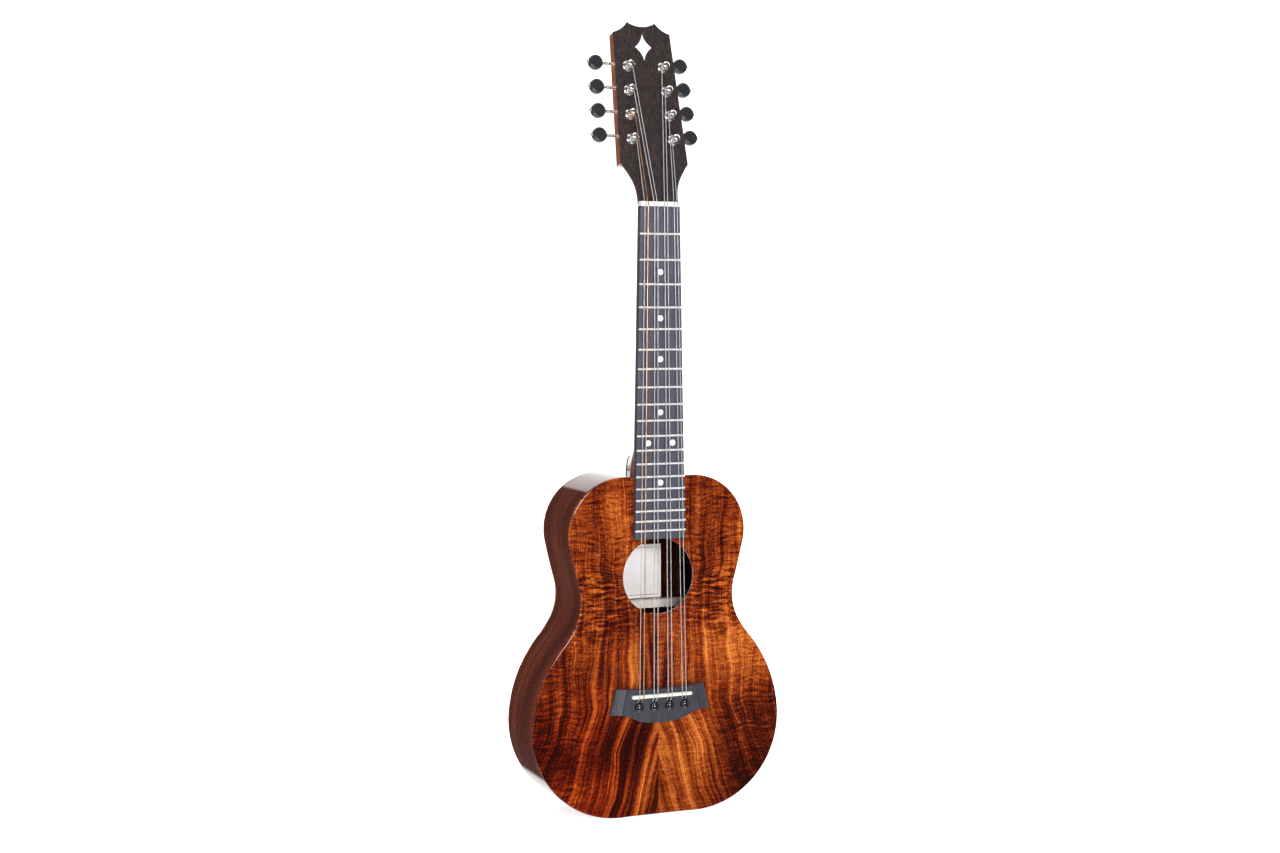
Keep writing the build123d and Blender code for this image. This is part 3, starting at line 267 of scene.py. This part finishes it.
def koa_back():
    """The back: two book-matched halves with a gentle curl, polished outside, with the inside face darkened
    as painted shade.
    """
    s = Surface("koa_back", Coat_Roughness=0.04, **KOA_GLOSS)
    x, y, z = s.axes()
    across = s.math("ABSOLUTE", x)
    drift = s.math("SUBTRACT", s.noise(s.join(across, 0.0, z), scale=11, detail=2.0), 0.5)
    line = s.join(s.math("MULTIPLY_ADD", drift, 0.030, across), 0.0, z)
    wavy = s.join(across, 0.0, s.math("MULTIPLY_ADD", drift, 0.03, z))
    stripes = s.noise(s.scaled(line, (90, 1, 3)), detail=4.0, roughness=0.55)
    fine_lines = s.noise(s.scaled(line, (620, 1, 12)), detail=2.0)
    curl = s.noise(s.scaled(wavy, (20, 1, 210)), detail=2.0, roughness=0.6)
    tone = 0.50
    for figure, depth in ((stripes, 1.1), (fine_lines, 0.25), (curl, 0.35)):
        tone = s.swing(tone, figure, depth)
    polished = s.ramp(tone, KOA_STOPS)
    inner_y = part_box("back")[0].y
    outside = s.step(y, inner_y + 0.1 * MM, inner_y + 0.3 * MM)
    s.bump(fine_lines, KOA_RELIEF, 0.25)
    # Painted shade: the back's inside face is darkened and cooled, standing in for the shade inside the
    # closed body.
    colour = s.mix(outside, s.scaled(polished, (0.16, 0.20, 0.50)), polished)
    return s.paint(colour, s.span(curl, 0.3, 0.7, 0.40, 0.30))


def long_grained(name, stops, across_scale, along_scale, roughness, bump_depth=0.00005, **constants):
    """Wood with its grain along the instrument, and short dark pores."""
    s = Surface(name, **constants)
    x, y, z = s.axes()
    drift = s.math("MULTIPLY", s.noise(s.position, scale=14, detail=2.0), 0.012)
    grain_vector = s.join(
        s.math("MULTIPLY", s.math("ADD", x, drift), across_scale),
        s.math("MULTIPLY", s.math("ADD", y, drift), across_scale),
        s.math("MULTIPLY", z, along_scale),
    )
    grain = s.noise(grain_vector, detail=4.0, roughness=0.6)
    pores = s.noise(s.scaled(grain_vector, (5.0, 5.0, 7.0)), detail=1.0)
    colour = s.brighten(s.ramp(grain, stops), s.span(pores, 0.58, 0.70, 1.0, 0.66))
    s.bump(pores, bump_depth, 0.5)
    return s.paint(colour, s.span(grain, 0.3, 0.7, roughness + 0.06, roughness - 0.06))


def metal(name, colour, roughness, variation=0.06, metallic=1.0):
    """Plated metal: slight unevenness in its polish and hairline marks."""
    s = Surface(name, Metallic=metallic)
    smear = s.noise(s.position, scale=260, detail=3.0, roughness=0.6)
    hairlines = s.noise(s.scaled(s.position, (900.0, 900.0, 9000.0)), detail=2.0)
    dull = tuple(c * 0.72 for c in colour)
    tone = s.mix(s.span(smear, 0.35, 0.7, 0.0, 1.0), colour, dull)
    s.bump(hairlines, 0.000006, 0.4)
    return s.paint(tone, s.span(smear, 0.3, 0.7, roughness - variation, roughness + variation))


def moulded(name, colour, roughness, speckle=0.25, bump_depth=0.00001, **constants):
    """Moulded or polished solid colour with faint mottling and a very fine surface."""
    s = Surface(name, **constants)
    mottle = s.noise(s.position, scale=420, detail=3.0, roughness=0.6)
    grit = s.noise(s.position, scale=5200, detail=2.0, roughness=0.6)
    darker = tuple(c * (1 - speckle) for c in colour)
    tone = s.mix(s.span(mottle, 0.3, 0.7, 0.0, 1.0), colour, darker)
    s.bump(grit, bump_depth, 0.5)
    return s.paint(tone, s.span(mottle, 0.3, 0.7, roughness - 0.04, roughness + 0.05))


def pearl(name):
    """Mother-of-pearl: soft white with drifting cool and warm bands."""
    s = Surface(name, Coat_Weight=1.0, Coat_Roughness=0.05, Specular_IOR_Level=0.6)
    bands = s.noise(s.position, scale=130, detail=3.0, roughness=0.6, distortion=2.5)
    colour = s.ramp(bands, [
        (0.30, (0.60, 0.66, 0.78)),
        (0.45, (0.88, 0.88, 0.86)),
        (0.58, (0.74, 0.82, 0.86)),
        (0.72, (0.90, 0.85, 0.84)),
    ])
    return s.paint(colour, s.span(bands, 0.3, 0.7, 0.18, 0.32))


def paper():
    """A blank paper label: fibres, slight foxing and a plain thin printed frame."""
    s = Surface("paper", Specular_IOR_Level=0.2)
    x, _, z = s.axes()
    low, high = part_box("label")
    middle, half = (low + high) / 2, (high - low) / 2
    margin, line_width = 3.0 * MM, 0.35 * MM
    inset_x = s.math("SUBTRACT", half.x - margin, s.math("ABSOLUTE", s.math("SUBTRACT", x, middle.x)))
    inset_z = s.math("SUBTRACT", half.z - margin, s.math("ABSOLUTE", s.math("SUBTRACT", z, middle.z)))
    inset = s.math("ABSOLUTE", s.math("MINIMUM", inset_x, inset_z))
    ink = s.step(inset, line_width, line_width * 0.5)
    fibres = s.noise(s.scaled(s.position, (900.0, 900.0, 300.0)), detail=4.0, roughness=0.7)
    stains = s.noise(s.position, scale=45, detail=3.0)
    sheet = s.mix(s.span(stains, 0.4, 0.7, 0.0, 0.6), (0.83, 0.81, 0.82), (0.74, 0.70, 0.66))
    sheet = s.brighten(sheet, s.span(fibres, 0.3, 0.7, 0.96, 1.03))
    s.bump(fibres, 0.00003, 0.5)
    return s.paint(s.mix(ink, sheet, (0.22, 0.20, 0.19)), s.span(fibres, 0.3, 0.7, 0.75, 0.9))


def clear_string():
    """Clear fluorocarbon: pale, slightly translucent and glossy."""
    s = Surface("clear_string", Transmission_Weight=0.35, IOR=1.42, Coat_Weight=0.5)
    waves = s.noise(s.scaled(s.position, (60.0, 60.0, 240.0)), detail=2.0)
    tone = s.mix(s.span(waves, 0.3, 0.7, 0.0, 1.0), (0.50, 0.49, 0.50), (0.38, 0.37, 0.39))
    s.bump(waves, 0.00001, 0.3)
    return s.paint(tone, s.span(waves, 0.3, 0.7, 0.14, 0.26))


def wound_string(name, length, wire=0.18 * MM):
    """A copper-wound string: fine turns of wire across its whole length."""
    s = Surface(name, Metallic=1.0)
    coordinates = s.add("ShaderNodeTexCoord").outputs["UV"]
    along = s.axes(coordinates)[0]
    turn = s.math("FRACT", s.math("MULTIPLY", along, round(length / wire)))
    ridge = s.math("SINE", s.math("MULTIPLY", turn, math.pi))
    tarnish = s.noise(s.position, scale=190, detail=3.0)
    tone = s.ramp(tarnish, [(0.35, (0.80, 0.42, 0.22)), (0.7, (0.90, 0.56, 0.34))])
    s.bump(ridge, 0.00003, 0.35)
    # Painted shade: the colour is darkened in the grooves between the wire's turns, where the ridge is low.
    return s.paint(s.brighten(tone, s.span(ridge, 0, 0.6, 0.82, 1.0)), s.span(tarnish, 0.3, 0.7, 0.30, 0.42))


def give(material, *names):
    for name in names:
        slots = nodes[name].data.materials
        slots.clear()
        slots.append(material)


MAHOGANY = [(0.25, (0.130, 0.034, 0.012)), (0.5, (0.260, 0.082, 0.028)), (0.75, (0.400, 0.150, 0.055))]
PALE_WOOD = [(0.25, (0.74, 0.64, 0.55)), (0.5, (0.84, 0.76, 0.69)), (0.75, (0.90, 0.85, 0.80))]
DARK_VENEER = [(0.28, (0.008, 0.005, 0.005)), (0.5, (0.021, 0.015, 0.015)), (0.72, (0.052, 0.038, 0.034))]
FRET_WOOD = [(0.28, (0.022, 0.023, 0.036)), (0.5, (0.038, 0.040, 0.060)), (0.72, (0.058, 0.060, 0.086))]
BRIDGE_WOOD = [(0.28, (0.016, 0.016, 0.024)), (0.5, (0.027, 0.027, 0.038)), (0.72, (0.044, 0.044, 0.060))]

close_grain = {"across_scale": 260, "along_scale": 12}
thin_gloss = {"bump_depth": 0.000008, "Coat_Weight": 1.0, "Coat_Roughness": 0.10}
mahogany = long_grained("mahogany", MAHOGANY, roughness=0.30, **close_grain, **thin_gloss)
bare_mahogany = long_grained("bare_mahogany", MAHOGANY, roughness=0.60, **close_grain)
pale_wood = long_grained("pale_wood", PALE_WOOD, across_scale=420, along_scale=16, roughness=0.62)
dark_veneer = long_grained(
    "dark_veneer", DARK_VENEER, across_scale=900, along_scale=9, roughness=0.36, Specular_IOR_Level=0.35
)
fret_wood = long_grained(
    "fret_wood", FRET_WOOD, across_scale=900, along_scale=16, roughness=0.44, Specular_IOR_Level=0.5
)
bridge_wood = long_grained(
    "bridge_wood", BRIDGE_WOOD, across_scale=500, along_scale=60, roughness=0.44, Specular_IOR_Level=0.5
)
nickel = metal("nickel", (0.86, 0.82, 0.79), roughness=0.27)
soft_polish = {"Subsurface_Weight": 0.25, "Subsurface_Scale": 0.002, "Coat_Weight": 0.4}
hard_gloss = {"Coat_Weight": 1.0, "Coat_Roughness": 0.03}
satin = {"bump_depth": 0.00003, "Coat_Weight": 0.3, "Coat_Roughness": 0.2}
bone = moulded("bone", (0.63, 0.61, 0.56), roughness=0.28, speckle=0.08, **soft_polish)
black_pin = moulded("black_pin", (0.008, 0.008, 0.009), roughness=0.08, speckle=0.3, **hard_gloss)
black_button = moulded("black_button", (0.018, 0.018, 0.022), roughness=0.30, speckle=0.3, **satin)

give(koa_top(), "soundboard")
give(koa_side(), "side_bass", "side_treble", "heel_cap")
give(koa_back(), "back")
give(mahogany, "neck")
give(bare_mahogany, "neck_block", "tail_block")
give(pale_wood, "linings", "top_braces", "back_braces", "bridge_plate")
give(paper(), "label")
give(dark_veneer, "headstock_veneer")
give(fret_wood, "fretboard")
give(bridge_wood, "bridge")
give(metal("fret_wire", (0.90, 0.89, 0.88), roughness=0.42, metallic=0.6), "frets")
give(bone, "nut", "saddle")
give(pearl("dot_pearl"), "position_dots")
give(pearl("inlay_pearl"), "headstock_inlay")
give(black_pin, "bridge_pins")
give(moulded("carbon_bar", (0.02, 0.02, 0.021), roughness=0.45), "neck_bar")
give(metal("bolt_steel", (0.52, 0.52, 0.53), roughness=0.34), "neck_bolts")
give(nickel, "tuner_plates", "tuner_bushings", "tuner_screws")
for station in range(1, 2 * POSTS_PER_SIDE + 1):
    give(nickel, f"string_post_{station}", f"worm_shaft_{station}")
    give(black_button, f"tuner_button_{station}")


# ---- Strings ----
def head_point(x, u, w):
    return Vector((x, HEAD_FACE_Y, 0)) + HEAD_UP * u + HEAD_NORMAL * w


def post_place(side, number):
    run = number * POST_PITCH
    return side * (FIRST_POST_X - run * math.sin(ROW_LEAN)), FIRST_POST_U + run * math.cos(ROW_LEAN)


def string_x(number, course_pitch, pair_pitch):
    """Where a string lies across the instrument, counted in courses of two from the bass side."""
    course, within = divmod(number - 1, 2)
    return (course - (COURSES - 1) / 2) * course_pitch + (within - 0.5) * pair_pitch


def saddle_bend(radius):
    """The corner of the string's route over the saddle's rounded edge, and the radius that it bends to."""
    wrap = SADDLE_ROUND + radius + STRING_GAP
    run = SADDLE_Z - SADDLE_THICKNESS / 2 + SADDLE_ROUND - STRING_SLOT_Z
    rise = SADDLE_TOP - SADDLE_ROUND - STRING_BEND_HEIGHT
    climb = math.atan2(rise, run) + math.asin(wrap / math.hypot(run, rise))
    height = SADDLE_TOP - SADDLE_ROUND + wrap
    return height, STRING_SLOT_Z + (height - STRING_BEND_HEIGHT) / math.tan(climb), wrap


def post_meeting(nut_point, side, number, reach, height):
    """Where a string from the nut meets the inner side of its turns, reach away from the post's axis."""
    nut_u = (nut_point - head_point(0, 0, 0)).dot(HEAD_UP)
    x, u = post_place(side, number)
    distance = math.hypot(x - nut_point.x, u - nut_u)
    angle = math.atan2(u - nut_u, x - nut_point.x) + side * math.asin(reach / distance)
    length = math.sqrt(distance**2 - reach**2)
    return head_point(nut_point.x + length * math.cos(angle), nut_u + length * math.sin(angle), height)


def rounded_route(corners, radii):
    """Control points of a quadratic curve that runs straight between its corners and rounds each of them."""
    points = [corners[0]]
    for before, corner, after, radius in zip(corners, corners[1:], corners[2:], radii):
        arriving, leaving = (corner - before).normalized(), (after - corner).normalized()
        reach = 2 * radius * math.tan(arriving.angle(leaving) / 2)
        points += [corner - arriving * reach, corner, corner + leaving * reach]
    return points + [corners[-1]]


def wire(name, points, radius, body, smooth=True):
    """A round wire along points: a quadratic curve between them, or straight runs."""
    data = bpy.data.curves.new(name, "CURVE")
    data.dimensions = "3D"
    data.bevel_depth = radius
    data.bevel_resolution = 3
    data.use_fill_caps = True
    data.resolution_u = 8
    spline = data.splines.new("NURBS" if smooth else "POLY")
    spline.points.add(len(points) - 1)
    for target, point in zip(spline.points, points):
        target.co = (*point, 1)
    if smooth:
        spline.order_u = 3
        spline.use_endpoint_u = True
    mesh = bpy.data.meshes.new_from_object(bpy.data.objects.new(name, data))
    for polygon in mesh.polygons:
        polygon.use_smooth = True
    piece = bpy.data.objects.new(name, mesh)
    bpy.context.scene.collection.objects.link(piece)
    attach(piece, body)
    return piece


def winding_points(meeting, travel, side, number, reach, diameter):
    """The string's turns up its post, then its end through the post's hole, with a short clipped tail."""
    x, u = post_place(side, number)
    outward = Vector((side * math.cos(ROW_LEAN), 0, 0)) + HEAD_UP * math.sin(ROW_LEAN)
    sideways = HEAD_NORMAL.cross(outward)
    axis = head_point(x, u, 0)
    arm = meeting - axis
    start = math.atan2(arm.dot(sideways), arm.dot(outward))
    sense = 1 if HEAD_NORMAL.dot(arm.cross(travel)) > 0 else -1
    low = arm.dot(HEAD_NORMAL)
    to_hole = (-start * sense) % math.pi
    whole_turns, steps, turn_spacing = 2, 88, diameter * 1.04
    wound = whole_turns * 2 * math.pi + to_hole
    last_quarter = wound - math.pi / 2
    points = []
    for i in range(steps + 1):
        turned = wound * i / steps
        height = low + turn_spacing * min(turned, last_quarter) / (2 * math.pi)
        if turned > last_quarter:
            climb = (turned - last_quarter) / (wound - last_quarter)
            height += (POST_HOLE_HEIGHT - height) * (3 * climb**2 - 2 * climb**3)
        angle = start + sense * turned
        spoke = outward * math.cos(angle) + sideways * math.sin(angle)
        points.append(axis + spoke * reach + HEAD_NORMAL * height)
    hole = axis + HEAD_NORMAL * POST_HOLE_HEIGHT
    tail_places = (1.2 * MM, -1.5 * MM, -4.4 * MM)
    return points + [hole + spoke * place for place in tail_places]


def post_number(side, number):
    """Posts are counted from the nut, first on the bass side and then on the treble side."""
    return number + 1 + (POSTS_PER_SIDE if side > 0 else 0)


clear = clear_string()
for number, diameter in enumerate(STRING_DIAMETERS, start=1):
    radius = diameter / 2
    side, station = STRING_STATIONS[number]
    pin_x = string_x(number, PIN_PITCH, 2 * PIN_STRING_OFFSET)
    saddle_height, bend_z, wrap = saddle_bend(radius)
    nut_x = string_x(number, COURSE_PITCH_NUT, PAIR_PITCH_NUT)
    nut_point = Vector((nut_x, -(NUT_SLOT_FLOOR + radius + NUT_GAP), NUT_BEND_Z))
    reach = POST_WAIST_RADIUS + STRING_GAP + radius
    meeting = post_meeting(nut_point, side, station, reach, WINDING_HEIGHT - diameter)
    corners = [
        Vector((pin_x, KNOT_DEPTH, STRING_SLOT_Z)),
        Vector((pin_x, -STRING_BEND_HEIGHT, STRING_SLOT_Z)),
        Vector((string_x(number, COURSE_PITCH_SADDLE, PAIR_PITCH_SADDLE), -saddle_height, bend_z)),
        nut_point,
        meeting,
    ]
    body = f"post_{post_number(side, station)}"
    route = rounded_route(corners, (BEND_RADIUS_PIN, wrap, BEND_RADIUS_NUT))
    span = wire(f"string_span_{number}", route, radius, "instrument")
    turns_route = winding_points(meeting, meeting - nut_point, side, station, reach, diameter)
    turns = wire(f"string_turns_{number}", turns_route, radius, body, smooth=False)
    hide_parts(f"string_{number}")
    wound = number == WOUND_STRING
    for piece, path in ((span, corners), (turns, turns_route)):
        length = sum((b - a).length for a, b in zip(path, path[1:]))
        material = wound_string(f"{piece.name}_copper", length) if wound else clear
        piece.data.materials.append(material)

# ---- Floor, light and camera ----
floor_half = 30.0
floor_mesh = bpy.data.meshes.new("floor")
floor_z = cad_low.z
floor_corners = [(x, y, floor_z) for x, y in ((-1, -1), (1, -1), (1, 1), (-1, 1))]
floor_mesh.from_pydata([(x * floor_half, y * floor_half, z) for x, y, z in floor_corners], [], [(0, 1, 2, 3)])
floor = bpy.data.objects.new("floor", floor_mesh)
bpy.context.scene.collection.objects.link(floor)
floor_surface = Surface("floor_paint", Specular_IOR_Level=0.2)
cloud = floor_surface.noise(floor_surface.position, scale=3, detail=3.0)
floor_tone = floor_surface.mix(cloud, (0.78, 0.78, 0.78), (0.76, 0.76, 0.765))
floor_surface.shader.inputs["Emission Color"].default_value = (1, 1, 1, 1)
floor_surface.shader.inputs["Emission Strength"].default_value = 0.78
floor.data.materials.append(floor_surface.paint(floor_tone, floor_surface.span(cloud, 0, 1, 0.6, 0.7)))
floor.visible_glossy = False


ROOM_STRENGTH = 0.08
SWEEP_STRENGTH = 1.5
GROUND_STRENGTH = 1.3


def room():
    """A dim room with a bright sweep behind on the right, and pale ground. Seen directly it is white."""
    world = bpy.data.worlds.new("studio")
    bpy.context.scene.world = world
    world.use_nodes = True
    tree = world.node_tree
    background = tree.nodes["Background"]
    background.inputs["Color"].default_value = (1, 1, 1, 1)
    direction = tree.nodes.new("ShaderNodeTexCoord")
    axes = tree.nodes.new("ShaderNodeSeparateXYZ")
    tree.links.new(direction.outputs["Generated"], axes.inputs[0])

    def edge(axis, low, high):
        """0 to 1, smoothly, between two values of one axis of the unit direction."""
        node = tree.nodes.new("ShaderNodeMapRange")
        node.interpolation_type = "SMOOTHSTEP"
        node.inputs["From Min"].default_value = low
        node.inputs["From Max"].default_value = high
        tree.links.new(axes.outputs[axis], node.inputs["Value"])
        return node.outputs[0]

    def combine(operation, *values):
        node = tree.nodes.new("ShaderNodeMath")
        node.operation = operation
        for socket, value in zip(node.inputs, values):
            if isinstance(value, float):
                socket.default_value = value
            else:
                tree.links.new(value, socket)
        return node.outputs[0]

    high_right = combine("MULTIPLY", edge("X", -0.06, 0.0), edge("Z", -0.08, -0.02))
    behind = edge("Y", 0.0, 0.15)
    sweep = combine("MULTIPLY", high_right, behind)
    ground_behind = combine("MULTIPLY", edge("Z", -0.40, -0.46), behind)
    low_right = combine("MULTIPLY", edge("Z", -0.15, -0.22), edge("X", 0.02, 0.10))
    ground_right = combine("MULTIPLY", low_right, behind)
    ground = combine("MAXIMUM", combine("MAXIMUM", ground_behind, ground_right), edge("Z", -0.75, -0.85))
    strength = combine("MULTIPLY_ADD", sweep, SWEEP_STRENGTH, ROOM_STRENGTH)
    strength = combine("MULTIPLY_ADD", ground, GROUND_STRENGTH, strength)
    seen = tree.nodes.new("ShaderNodeLightPath").outputs["Is Camera Ray"]
    tree.links.new(combine("MAXIMUM", seen, strength), background.inputs["Strength"])


def softbox(name, place, target, width, height, power):
    data = bpy.data.lights.new(name, "AREA")
    data.shape = "RECTANGLE"
    data.size = width
    data.size_y = height
    data.energy = power
    lamp = bpy.data.objects.new(name, data)
    bpy.context.scene.collection.objects.link(lamp)
    lamp.location = place
    lamp.rotation_euler = (Vector(target) - Vector(place)).to_track_quat("-Z", "Y").to_euler()


room()
aim = (cad_low + cad_high) / 2
softbox("key", (-0.25, -2.2, 0.16), aim, width=1.0, height=0.4, power=47)
softbox("fill", (-1.9, -0.8, -0.25), aim, width=0.4, height=1.8, power=11)
softbox("rim", (1.5, 0.9, 0.9), aim, width=0.8, height=1.2, power=16)

sun_data = bpy.data.lights.new("overhead", "SUN")
sun_data.energy = 3.0
sun_data.angle = math.radians(50)
bpy.context.scene.collection.objects.link(bpy.data.objects.new("overhead", sun_data))

camera_data = bpy.data.cameras.new("camera")
camera_data.sensor_width = 36.0
camera_data.lens = 54.05
camera = bpy.data.objects.new("camera", camera_data)
bpy.context.scene.collection.objects.link(camera)
heading, dip, roll = math.radians(22.662), math.radians(3.323), math.radians(-0.066)
look = Vector((math.sin(heading) * math.cos(dip), math.cos(heading) * math.cos(dip), -math.sin(dip)))
turn = look.to_track_quat("-Z", "Y").to_matrix() @ Matrix.Rotation(roll, 3, "Z")
camera.location = (-0.6744, -1.5729, -0.0958)
camera.rotation_euler = turn.to_euler()
bpy.context.scene.camera = camera
bpy.context.scene.view_settings.view_transform = "Standard"
